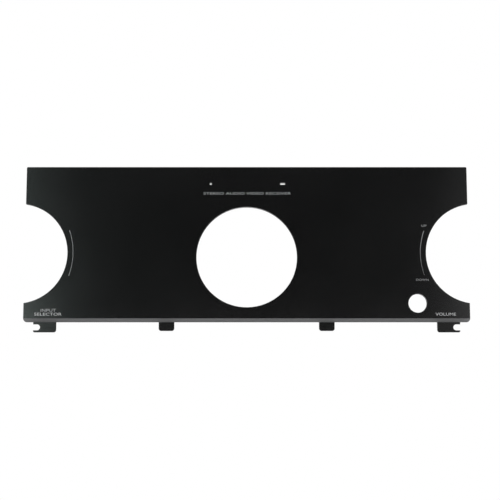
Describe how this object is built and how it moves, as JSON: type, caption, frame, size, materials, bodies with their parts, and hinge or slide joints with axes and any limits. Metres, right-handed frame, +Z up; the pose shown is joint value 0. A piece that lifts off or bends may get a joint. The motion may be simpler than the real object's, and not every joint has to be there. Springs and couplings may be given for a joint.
{
  "type": "receiver front panel",
  "caption": "Bare centre front panel of a stereo receiver: black plate with a porthole, knob cut-outs, a button hole and hooked lower tabs.",
  "frame": {"origin": "centre of the porthole on the plate's rear face", "axes": "+X to the right as seen from the front, along the plate; +Y to the rear, along the porthole's axis, so the front faces -Y; +Z up"},
  "size_m": [0.286, 0.019, 0.1072],
  "materials": {
    "anodised_plate": "black anodised, fine satin",
    "legend_ink": "screen-printed pale grey ink",
    "bracket_coat": "black electrocoated steel, satin",
    "stud_steel": "zinc plated, clear passivated",
    "washer_steel": "spring steel, zinc plated",
    "nut_steel": "zinc plated, clear passivated",
    "gasket_foam": "closed-cell foam, matt",
    "pad_felt": "pressed wool felt"
  },
  "bodies": {
    "root": {"face_plate": "anodised_plate", "porthole_gasket": "gasket_foam", "left_felt_pad": "pad_felt", "right_felt_pad": "pad_felt", "left_hook_bracket": "bracket_coat", "right_hook_bracket": "bracket_coat", "left_tongue_bracket": "bracket_coat", "right_tongue_bracket": "bracket_coat", "left_top_bracket": "bracket_coat", "right_top_bracket": "bracket_coat", "hook_bracket_studs": "stud_steel", "hook_bracket_washers": "washer_steel", "hook_bracket_nuts": "nut_steel", "tongue_bracket_studs": "stud_steel", "tongue_bracket_washers": "washer_steel", "tongue_bracket_nuts": "nut_steel", "top_bracket_studs": "stud_steel", "top_bracket_washers": "washer_steel", "top_bracket_nuts": "nut_steel"}
  },
  "joints": []
}
